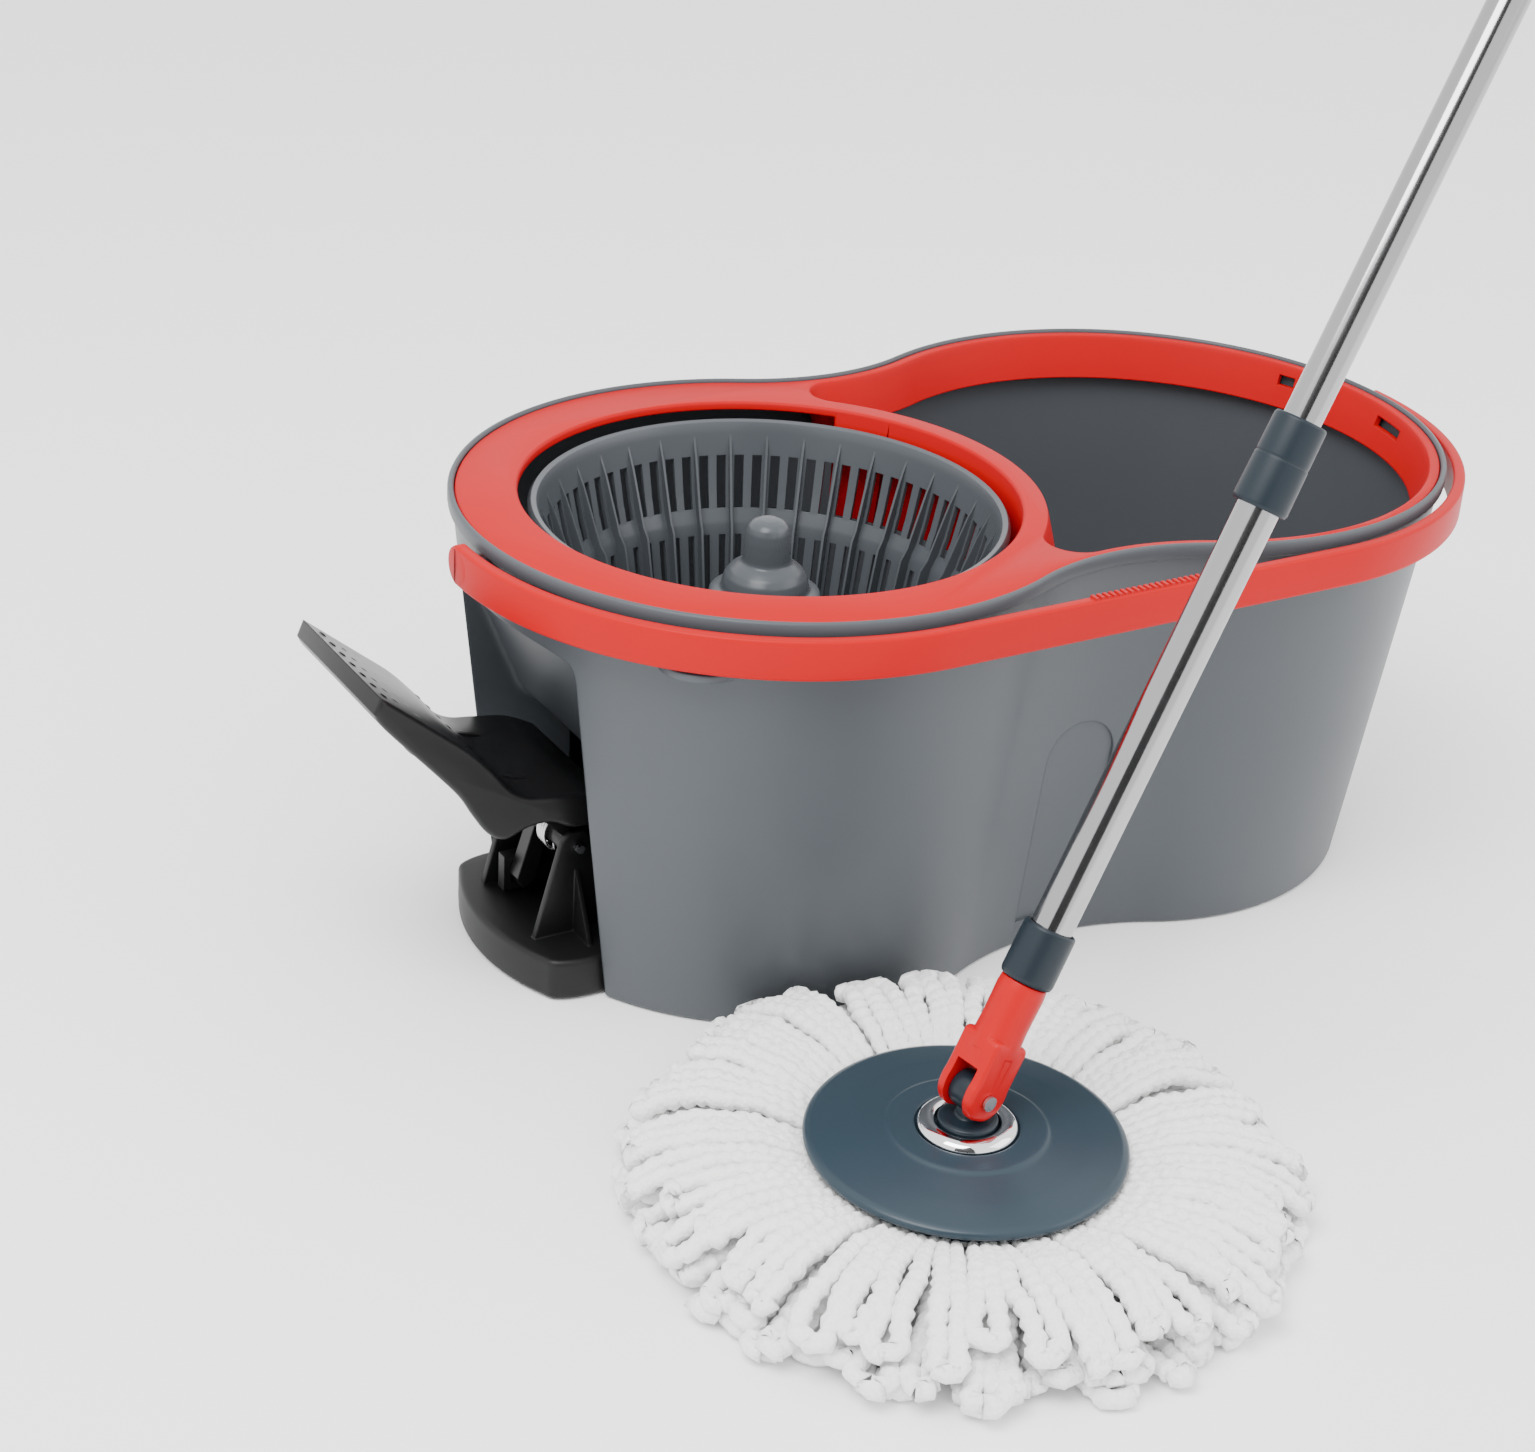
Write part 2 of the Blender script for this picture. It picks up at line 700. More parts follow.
def pedal_recess(name, grow, ease):
    """The space that the pedal works in, made larger by grow."""
    s = SPIN.x
    loop = [
        (s - 0.160, -0.010 - grow), (s - 0.050 + grow, -0.010 - grow), (s - 0.050 + grow, 0.0790 + grow),
        (s - 0.0900 + 0.6 * grow, 0.0960 + grow), (s - 0.1180 + 0.6 * grow, 0.1600 + grow),
        (s - 0.1280, 0.1680 + grow), (s - 0.1600, 0.1720 + grow),
    ]
    if ease:
        loop = eased(loop, 0.008, 4)
    return slab(name, loop, -NOTCH_HALF - grow, NOTCH_HALF + grow, axis="Y", ease=ease)


# ---------------------------------------------------------------- pieces
class SPINMOP_OT_bucket(bpy.types.Operator):
    """Draw the two-lobed bucket with its rim, pedal recess, drive chamber and waist panels"""

    bl_idname = "spinmop.bucket"
    bl_label = "Bucket"

    def execute(self, context):
        rings = [
            (0.0, BASE_INSET + 0.0040), (0.0003, BASE_INSET + 0.0022), (0.0011, BASE_INSET + 0.0008),
            (0.0025, BASE_INSET + 0.0001), (0.0940, wall_inset(0.0940)), (0.1935, wall_inset(0.1935)),
            (0.1947, wall_inset(0.195) - 0.0002), (0.1953, 0.0009), (0.1958, 0.0001), (0.1966, 0.0),
            (0.2006, 0.0), (0.2016, 0.0005), (RIM_Z, 0.0013),
        ]
        bucket = loft("bucket_shell", [ring_at(peanut(d), z) for z, d in rings])
        hollow = [
            (0.0030, BASE_INSET + 0.0120), (0.0038, BASE_INSET + 0.0070), (0.0062, BASE_INSET + 0.0034),
            (0.0100, wall_inset(0.0100) + WALL), (0.1940, wall_inset(0.1940) + WALL), (0.1972, 0.0052),
            (0.1973, 0.0028), (0.2010, 0.0028), (0.2022, 0.0020), (0.2060, 0.0020),
        ]
        cavity = loft("bucket_hollow", [ring_at(peanut(d), z) for z, d in hollow])
        radius, top = CHAMBER_R + WALL, CHAMBER_Z + WALL
        carve(cavity, rod("chamber_wall", radius, -0.02, top, centre=SPIN, segments=128, ease=0.002))
        carve(cavity, pedal_recess("recess_wall", WALL, 0.0))
        carve(bucket, cavity)
        carve(bucket, rod("chamber_space", CHAMBER_R, -0.01, CHAMBER_Z, centre=SPIN, segments=128))
        carve(bucket, pedal_recess("recess_space", 0.0, 0.004))
        carve(bucket, rod("bush_seat", 0.0093, 0.0700, 0.1000, centre=SPIN))
        for side in (-1, 1):
            arch = [(-0.018, 0.014), (0.018, 0.014)] + arc((0, 0.099), 0.018, 0, 180, 40)
            panel = slab(f"waist_panel_{side}", arch, *sided(side, 0.070, 0.150), axis="Y")
            levels = [(z, wall_inset(z) + 0.0012) for z in (-0.01, 0.100, 0.150)]
            carve(panel, loft("panel_floor", [ring_at(peanut(d), z) for z, d in levels]))
            carve(bucket, panel)
        extras = [bucket]
        for side in (-1, 1):
            end = LOBE_X + LOBE_R
            reach = sided(side, end - 0.0058, end - 0.0008)
            extras.append(rod(f"boss_{side}", 0.0064, *reach, "X", (0, HANDLE_Z)))
            at = around(SPIN, 0.128, side * 132)
            rest = rod(f"rest_{side}", 0.0195, 0.1762, 0.1798, centre=at, segments=64, ease=0.0008)
            carve(rest, loft("rest_trim", [ring_at(peanut(0.0055), z) for z in (0.15, 0.19)]))
            extras.append(rest)
        for angle in TOWER_ANGLES:
            at = around(SPIN, TOWER_PLACE_R, angle)
            extras.append(rod(f"tower_{angle}", 0.0045, 0.0066, 0.0850, centre=at))
        collar = [(0.0093, 0.0820), (0.0130, 0.0820), (0.0130, 0.0915), (0.0093, 0.0915)]
        extras.append(lathe("bush_collar", collar, 64, SPIN, ease=0.0006))
        show(merged("bucket_body", extras), "bucket", "bucket_grey", "bucket")
        return {"FINISHED"}


class SPINMOP_OT_guard(bpy.types.Operator):
    """Draw the splash guard: deck, round mouth with its curtain, and the lip round the water side"""

    bl_idname = "spinmop.guard"
    bl_label = "Splash guard"

    def execute(self, context):
        deck = [(-0.0030, 0.0031), (-0.0009, 0.0031), (-0.0003, 0.0034), (0.0, 0.0041)]
        guard = loft("guard_deck", [ring_at(peanut(d), COVER_Z + z) for z, d in deck])
        curtain = [
            (MOUTH_R + 0.0024, COVER_Z - 0.0005), (MOUTH_R + 0.0024, CURTAIN_LOW),
            (MOUTH_R - 0.0010, CURTAIN_LOW), (MOUTH_R - 0.0010, COVER_Z - 0.0005),
        ]
        ring = lathe("curtain", curtain, 160, SPIN)
        edge_x, edge_y = around(SPIN, 0.150, CURTAIN_HALF)
        away = [(SPIN.x, 0.0), (edge_x, -edge_y), (edge_x, -0.148), (-0.260, -0.148)]
        away += [(-0.260, 0.148), (edge_x, 0.148), (edge_x, edge_y)]
        carve(ring, slab("curtain_relief", away, 0.1000, COVER_Z - 0.0036))
        carve(guard, ring, "UNION")
        skirt = [(LIP_Z, 0.0033), (0.1958, -0.0018), (0.1990, -0.0018)]
        carve(guard, loft("lip_skirt", [ring_at(water_mouth(d), z) for z, d in skirt]), "UNION")
        opening = [(0.1750, 0.00696), (0.1985, 0.0005), (0.1998, 0.0), (0.2004, -0.0003), (0.2008, -0.0010)]
        opening.append((0.2060, -0.0010))
        carve(guard, loft("water_opening", [ring_at(water_mouth(d), z) for z, d in opening]))
        bore = [
            (0.0, 0.0900), (MOUTH_R + 0.0003, 0.0900), (MOUTH_R + 0.0003, COVER_Z - 0.0012),
            (MOUTH_R + 0.0006, COVER_Z - 0.0005), (MOUTH_R + 0.0013, COVER_Z), (MOUTH_R + 0.0013, 0.2060),
            (0.0, 0.2060),
        ]
        carve(guard, lathe("mouth_bore", bore, 160, SPIN))
        for angle, width in ((-13, 0.022), (8, 0.007), (19, 0.009)):
            low = (WATER.x + 0.1255, -width / 2, 0.1905)
            high = (WATER.x + 0.1400, width / 2, 0.1955)
            carve(guard, block("snap_slot", low, high, math.radians(angle), WATER))
        guard.name = "guard_shell"
        show(guard, "bucket", "guard_red", "splash_guard")
        return {"FINISHED"}


class SPINMOP_OT_handle(bpy.types.Operator):
    """Draw the carry handle: a rounded band with pivot ears and grip ridges"""

    bl_idname = "spinmop.handle"
    bl_label = "Carry handle"

    def execute(self, context):
        half = 0.00275
        section = eased(
            [(-half, HANDLE_LOW), (half, HANDLE_LOW), (half, HANDLE_HIGH), (-half, HANDLE_HIGH)], 0.0016, 4
        )
        path = [(-LOBE_X - HANDLE_R, 0.004)] + arc(SPIN, HANDLE_R, 180, 270, 90)
        path += [(-LOBE_X + 2 * LOBE_X * k / 40, -HANDLE_R) for k in range(1, 40)]
        path += arc(WATER, HANDLE_R, 270, 360, 90) + [(LOBE_X + HANDLE_R, 0.004)]
        parts = [sweep("handle_band", path, section)]
        for side in (-1, 1):
            middle = side * (LOBE_X + HANDLE_R)
            at = (0.002, HANDLE_Z - 0.0002)
            ear = rod(f"ear_{side}", 0.0087, middle - half, middle + half, "X", at, 64, ease=0.0014)
            reach = sided(side, LOBE_X + LOBE_R - 0.0055, LOBE_X + HANDLE_R)
            parts += [ear, rod(f"stub_{side}", 0.0037, *reach, "X", (0, HANDLE_Z))]
        for i in range(24):
            x = -0.0345 + 0.0030 * i
            low = (x - 0.0008, -HANDLE_R - half + 0.0007, HANDLE_HIGH - 0.001)
            high = (x + 0.0008, -HANDLE_R + half - 0.0007, HANDLE_HIGH + 0.0009)
            parts.append(block(f"grip_ridge_{i}", low, high))
        handle = merged("handle_bow", parts)
        show(handle, "carry_handle", "handle_red", "carry_handle")
        return {"FINISHED"}


class SPINMOP_OT_basket(bpy.types.Operator):
    """Draw the spin basket with every slot and fin, and its hub post"""

    bl_idname = "spinmop.basket"
    bl_label = "Spin basket"

    # radius and height from the rolled rim down to the hub, in stretches that share a kind of opening
    PROFILE = (
        (None, [(0.1042, 0.1898), (0.1044, 0.1925), (0.1036, 0.1938), (0.1024, 0.1934), (0.1018, 0.1920)]),
        (None, [(0.1012, 0.1890)]),
        ("high", [(0.0990, 0.1787), (0.0952, 0.1620), (0.0946, 0.1606)]),
        (None, [(0.0928, 0.1545), (0.0922, 0.1532), (0.0900, 0.1492), (0.0893, 0.1475)]),
        ("low", [(0.0883, 0.1430)]),
        (None, [(0.0820, 0.1120), (0.0809, 0.1066), (0.0798, 0.1032), (0.0778, 0.1004), (0.0745, 0.0990)]),
        ("drain", [(0.0660, 0.0988)]),
        (None, [(0.0420, 0.0988), (0.0355, 0.0989), (0.0338, 0.1000), (0.0328, 0.1030), (0.0247, 0.1455)]),
        (None, [(0.0240, 0.1468), (0.0230, 0.1472), (0.0060, 0.1472)]),
    )

    def wall(self, count):
        """The basket's wall as one skin with slot openings, thickened afterwards."""
        levels = [(r, z, tier) for tier, points in self.PROFILE for r, z in points]
        cuts = []
        for i in range(count):
            middle = 2 * math.pi * (i + 0.5) / count
            for share in (-0.5, -0.26, -0.20, 0.20, 0.26):
                cuts.append((middle + share * 2 * math.pi / count, i, share))
        bm = bmesh.new()
        rows = []
        for r, z, _ in levels:
            rows.append([bm.verts.new((r * math.cos(a), r * math.sin(a), z)) for a, _, _ in cuts])
        for (a, b), (_, _, tier) in zip(zip(rows, rows[1:]), levels):
            for k, (_, i, share) in enumerate(cuts):
                j = (k + 1) % len(cuts)
                wide = share in (-0.26, -0.20, 0.20)
                openings = {"high": wide, "low": share == -0.20, "drain": wide and i % 6 == 2}
                if not openings.get(tier):
                    bm.faces.new((a[k], b[k], b[j], a[j]))
        skin = to_object("basket_wall", bm)
        solid = skin.modifiers.new("thickness", "SOLIDIFY")
        solid.thickness = 0.0022
        solid.offset = 0.0
        graph = bpy.context.evaluated_depsgraph_get()
        bpy.context.view_layer.update()
        skin.data = bpy.data.meshes.new_from_object(skin.evaluated_get(graph))
        skin.modifiers.clear()
        return skin

    def execute(self, context):
        count = context.scene.spin_mop_sizes.slots
        parts = [self.wall(count)]
        fin = [(0.1003, 0.1885), (0.0960, 0.1795), (0.0862, 0.1530), (0.0828, 0.1480), (0.0738, 0.1060)]
        fin += [(0.0738, 0.0995), (0.0765, 0.0992), (0.0812, 0.1064), (0.0900, 0.1504), (0.0931, 0.1528)]
        for i in range(count // 2):
            blade = slab(f"fin_{i}", fin, -0.0006, 0.0006, axis="Y")
            blade.data.transform(Matrix.Rotation(4 * math.pi * i / count, 4, "Z"))
            parts.append(blade)
        basket = merged("basket_shell", parts)
        basket.data.transform(Matrix.Translation(SPIN))
        show(basket, "spin_basket", "basket_grey", "spin_basket", angle=40)
        post = [
            (0.0, 0.1880), (0.0042, 0.1877), (0.0070, 0.1866), (0.0088, 0.1848), (0.0098, 0.1822),
            (0.0103, 0.1780), (0.0106, 0.1725), (0.0107, 0.1690), (0.0112, 0.1677), (0.0135, 0.1664),
            (0.0162, 0.1644), (0.0183, 0.1615), (0.0193, 0.1580), (0.0195, 0.1560), (0.0200, 0.1550),
            (0.0225, 0.1546), (0.0244, 0.1538), (0.0250, 0.1525), (0.0250, 0.1486), (0.0043, 0.1486),
            (0.0043, 0.1590), (0.0, 0.1590),
        ]
        hub = lathe("hub_dome", post, 96, SPIN, ease=0.0008)
        show(hub, "spin_basket", "post_grey", "hub_post")
        return {"FINISHED"}


class SPINMOP_OT_pedal(bpy.types.Operator):
    """Draw the foot pedal with its studded tread, and the coiled return spring"""

    bl_idname = "spinmop.pedal"
    bl_label = "Pedal"

    def execute(self, context):
        s = SPIN.x
        top = [(-0.2010, 0.1590), (-0.1870, 0.1476), (-0.1740, 0.1370), (-0.1620, 0.1270), (-0.1510, 0.1150)]
        top += [(-0.1430, 0.1050), (-0.1340, 0.0995), (-0.1220, 0.0975), (-0.1060, 0.0945), (-0.0930, 0.0880)]
        under = [(-0.0930, 0.0800), (-0.1120, 0.0800), (-0.1240, 0.0850), (-0.1345, 0.0850)]
        under += [(-0.1450, 0.0815), (-0.1530, 0.0860), (-0.1600, 0.0960), (-0.1660, 0.1060)]
        under += [(-0.1760, 0.1180), (-0.1990, 0.1440), (-0.2040, 0.1520)]
        top_line = curve_through(top)
        loop = [(s + p[0], p[1]) for p in top_line + curve_through(under)]
        pedal = slab("pedal_shell", loop, -0.042, 0.042, axis="Y", ease=0.0022)
        room = [(s + p[0] + 0.0012, p[1] - 0.0032) for p in top_line[3:-4]]
        room += [(s - 0.1030, 0.0600), (s - 0.1450, 0.0600), (s - 0.2000, 0.1300)]
        carve(pedal, slab("pedal_room", room, -0.0390, 0.0390, axis="Y"))
        parts = [pedal, rod("pedal_sleeve", 0.0066, -0.0236, 0.0236, "Y", (PIVOT.x, PIVOT.z))]
        web = [(-0.1070, 0.0640), (-0.0990, 0.0640), (-0.0960, 0.0880), (-0.1420, 0.1030), (-0.1330, 0.0900)]
        for side in (-1, 1):
            outline = [(s + x, z) for x, z in web]
            parts.append(slab(f"pedal_web_{side}", outline, *sided(side, 0.0200, 0.0230), axis="Y"))
        pin_x = PIVOT.x - PEDAL_ARM * math.sin(PEDAL_ARM_REST)
        pin_z = PIVOT.z - PEDAL_ARM * math.cos(PEDAL_ARM_REST)
        across = Vector((math.cos(PEDAL_ARM_REST), -math.sin(PEDAL_ARM_REST))) * 0.0042
        arm = [
            (PIVOT.x - across.x, PIVOT.z - across.y),
            (pin_x - across.x, pin_z - across.y),
            (pin_x - 0.0012, pin_z - 0.0041),
            (pin_x + across.x, pin_z + across.y),
            (PIVOT.x + across.x, PIVOT.z + across.y),
        ]
        parts.append(slab("pedal_arm", arm, 0.0030, 0.0108, axis="Y"))
        parts.append(rod("rack_pin", 0.0025, 0.0090, 0.0178, "Y", (pin_x, pin_z)))
        slope = Vector((top[4][0] - top[0][0], top[4][1] - top[0][1])).normalized()
        square_to_tread = Vector((-slope.y, 0, slope.x)).to_track_quat("Z", "Y").to_matrix().to_4x4()
        dome = [(0.0, 0.0009), (0.0014, 0.0007), (0.0021, 0.0), (0.0021, -0.0008), (0.0, -0.0008)]
        rows = context.scene.spin_mop_sizes.dimples
        for i in range(rows):
            for j in range(7):
                d = 0.0065 + 0.0095 * i * 6 / (rows - 1)
                y = -0.0315 + 0.0105 * j + (0.0052 if i % 2 else 0.0)
                if y > 0.035:
                    continue
                stud = lathe("stud", dome, 16)
                at = Matrix.Translation((s + top[0][0] + slope.x * d, y, top[0][1] + slope.y * d))
                stud.data.transform(at @ square_to_tread)
                parts.append(stud)
        piece = merged("pedal_tread", parts)
        show(piece, "foot_pedal", "pedal_black", "foot_pedal")

        y_low = -0.0130
        y_high = -0.0055
        turns = 4
        per_turn = 28
        points = []
        for i in range(turns * per_turn + 1):
            a = math.radians(-115) + 2 * math.pi * i / per_turn
            y = y_high + (y_low - y_high) * i / (turns * per_turn)
            x, z = SPRING_COIL_R * math.cos(a), SPRING_COIL_R * math.sin(a)
            points.append(Vector((PIVOT.x + x, y, PIVOT.z + z)))
        points.append(Vector((PIVOT.x - 0.0060, y_low, PIVOT.z + 0.0140)))
        bm = bmesh.new()
        strand(bm, points, [0.0007] * len(points), 12)
        spring = to_object("return_spring", bm)
        show(spring, "bucket", "spring_steel", "pedal_spring")
        return {"FINISHED"}


class SPINMOP_OT_fringe(bpy.types.Operator):
    """Draw the refill: its snap ring and the looped chenille strands in three layers"""

    bl_idname = "spinmop.fringe"
    bl_label = "Mop refill"

    LAYERS = (
        ((0.124, 0.1380), [(0.052, 0.0100), (0.070, 0.0065), (0.100, 0.0046), (0.145, 0.0044)]),
        (
            (0.128, 0.1405),
            [(0.056, 0.0150), (0.072, 0.0172), (0.100, 0.0176), (0.124, 0.0115), (0.145, 0.0060)],
        ),
        (
            (0.122, 0.1390),
            [
                (0.058, 0.0198), (0.066, 0.0228), (0.082, 0.0282), (0.104, 0.0290), (0.122, 0.0228),
                (0.135, 0.0135), (0.145, 0.0085),
            ],
        ),
    )

    @staticmethod
    def height(levels, r):
        """The height of a layer's middle line at a radius."""
        for (r0, z0), (r1, z1) in zip(levels, levels[1:]):
            if r <= r1:
                t = max(0.0, min(1.0, (r - r0) / (r1 - r0)))
                return z0 + (z1 - z0) * t
        return levels[-1][1]

    def execute(self, context):
        sizes = context.scene.spin_mop_sizes
        loops = sizes.loops
        thick = sizes.strand
        rng = random.Random(7)
        bm = bmesh.new()
        for layer, ((short, long), levels) in enumerate(self.LAYERS):
            start = levels[0][0]
            for n in range(loops):
                middle = 2 * math.pi * (n + 0.33 * layer + rng.uniform(-0.28, 0.28)) / loops
                spread = math.pi / loops * 0.5 * rng.uniform(0.85, 1.15)
                end = rng.uniform(short, long)
                tip = MOP + Vector((math.cos(middle), math.sin(middle), 0)) * end
                clear = STRAND_CLEAR_R - (tip - SPIN).to_2d().length
                if clear > 0:
                    outward = Vector((math.cos(middle), math.sin(middle)))
                    toward = (SPIN - MOP).to_2d().normalized().dot(outward)
                    end -= clear / max(0.35, toward)
                bend = rng.uniform(-0.05, 0.05)
                lift = rng.uniform(-0.0010, 0.0012)
                phase = rng.uniform(0, 6.28)
                seed = rng.uniform(0, 50)
                steps = 44
                path = []
                tip_r = spread * end
                reach = end - thick - tip_r * 0.8
                line = [(start + (reach - start) * k / steps, -1.0) for k in range(steps + 1)]
                for a in (0.4, 0.8, 1.2, 1.57, 1.95, 2.35, 2.75):
                    line.append((reach + tip_r * 0.8 * math.sin(a), -math.cos(a)))
                line += [(r, 1.0) for r, _ in line[: steps + 1][::-1]]
                radii = []
                for r, lane in line:
                    share = (r - start) / (end - start)
                    wave = 0.0022 * share * noise.noise(Vector((r * 38, seed, lane * 4 + layer)))
                    a = middle + lane * spread + bend * share + wave / max(r, 0.05) * 3
                    ripple = 0.0014 * share * noise.noise(Vector((r * 50, seed, 9)))
                    z = self.height(levels, r) + lift * share + ripple
                    size = thick * (0.60 + 0.40 * min(1.0, share * 2.2))
                    lumps = 0.16 * noise.noise(Vector((r * 260, seed, 3 + lane)))
                    knob = 1.0 + 0.13 * math.sin(r * 1080 + phase + lane) + lumps
                    z = max(z, size * 1.12)
                    path.append(Vector((MOP.x + r * math.cos(a), MOP.y + r * math.sin(a), z)))
                    radii.append(size * knob * 0.93)

                def shape(k, p):
                    return 1.0 + 0.24 * noise.noise(Vector((p.x * 360 + k * 0.9, p.y * 360, k * 1.3 + seed)))

                strand(bm, path, radii, 8, shape)
        for v in bm.verts:
            v.co.z = max(v.co.z, 0.0002)
        fringe = to_object("fringe_strands", bm)
        show(fringe, "refill", "fringe_white", "refill_fringe", angle=180)

        edges = ((0.0173, 0.0004), (0.0176, 0.0), (0.0199, 0.0), (0.0202, 0.0004))
        rings = [circle(0.0558 - grow, z, 192, MOP) for z, grow in edges]
        for z, grow in reversed(edges):
            inner = []
            for a in turn(192):
                r = 0.0275 + grow + 0.0016 * math.cos(8 * a)
                inner.append((MOP.x + r * math.cos(a), MOP.y + r * math.sin(a), z))
            rings.append(inner)
        parts = [loft("snap_ring", rings, cap=False)]
        low = (MOP.x + 0.0475, MOP.y - 0.0017, 0.0168)
        high = (MOP.x + 0.0515, MOP.y + 0.0017, 0.0175)
        parts += [block("ring_tooth", low, high, a, MOP) for a in turn(32)]
        ring = merged("snap_ring_toothed", parts)
        show(ring, "refill", "refill_white", "refill_ring")
        return {"FINISHED"}


class SPINMOP_OT_head(bpy.types.Operator):
    """Draw the mop plate, its chrome bearing ring and the swivel post"""

    bl_idname = "spinmop.head"
    bl_label = "Mop head"

    def execute(self, context):
        profile = [
            (0.0, 0.0080), (0.0240, 0.0080), (0.0250, 0.0090), (0.0250, 0.0206), (0.0570, 0.0206),
            (0.0570, 0.0252), (0.0625, 0.0258), (0.0638, 0.0268), (0.0640, 0.0282), (0.0632, 0.0294),
            (0.0610, 0.0304), (0.0480, 0.0321), (0.0335, 0.0336), (0.0325, 0.0338), (0.0312, 0.0345),
            (0.0300, 0.0346), (0.0212, 0.0347), (0.0206, 0.0342), (0.0206, 0.0330), (0.0066, 0.0330),
            (0.0066, 0.0110), (0.0, 0.0110),
        ]
        plate = lathe("plate_disc", profile, 144, MOP, ease=0.0005, steps=2)
        show(plate, "mop_plate", "plate_slate", "mop_plate")
        ring = [
            (0.0127, 0.0363), (0.0134, 0.0371), (0.0150, 0.0375), (0.0168, 0.0374), (0.0188, 0.0365),
            (0.0198, 0.0352), (0.0202, 0.0336), (0.0200, 0.0333), (0.0127, 0.0333),
        ]
        chrome = lathe("chrome_ring", ring, 128, MOP)
        show(chrome, "mop_plate", "ring_chrome", "bearing_ring", angle=50)
        post = [
            (0.0, 0.0470), (0.0050, 0.0470), (0.0050, 0.0402), (0.0056, 0.0394), (0.0100, 0.0388),
            (0.0116, 0.0382), (0.0120, 0.0372), (0.0120, 0.0334), (0.0060, 0.0334), (0.0060, 0.0125),
            (0.0, 0.0125),
        ]
        body = lathe("swivel_body", post, 64, ease=0.0004)
        eye = rod("swivel_ball", 0.0076, -0.0052, 0.0052, "Y", (0, POLE_AT.z), 64, ease=0.0012)
        eye.data.transform(Matrix.Rotation(HEADING, 4, "Z"))
        swivel = merged("swivel_stem", [body, eye])
        swivel.data.transform(Matrix.Translation((MOP.x, MOP.y, 0)))
        show(swivel, "swivel", "swivel_slate", "swivel_post")
        return {"FINISHED"}


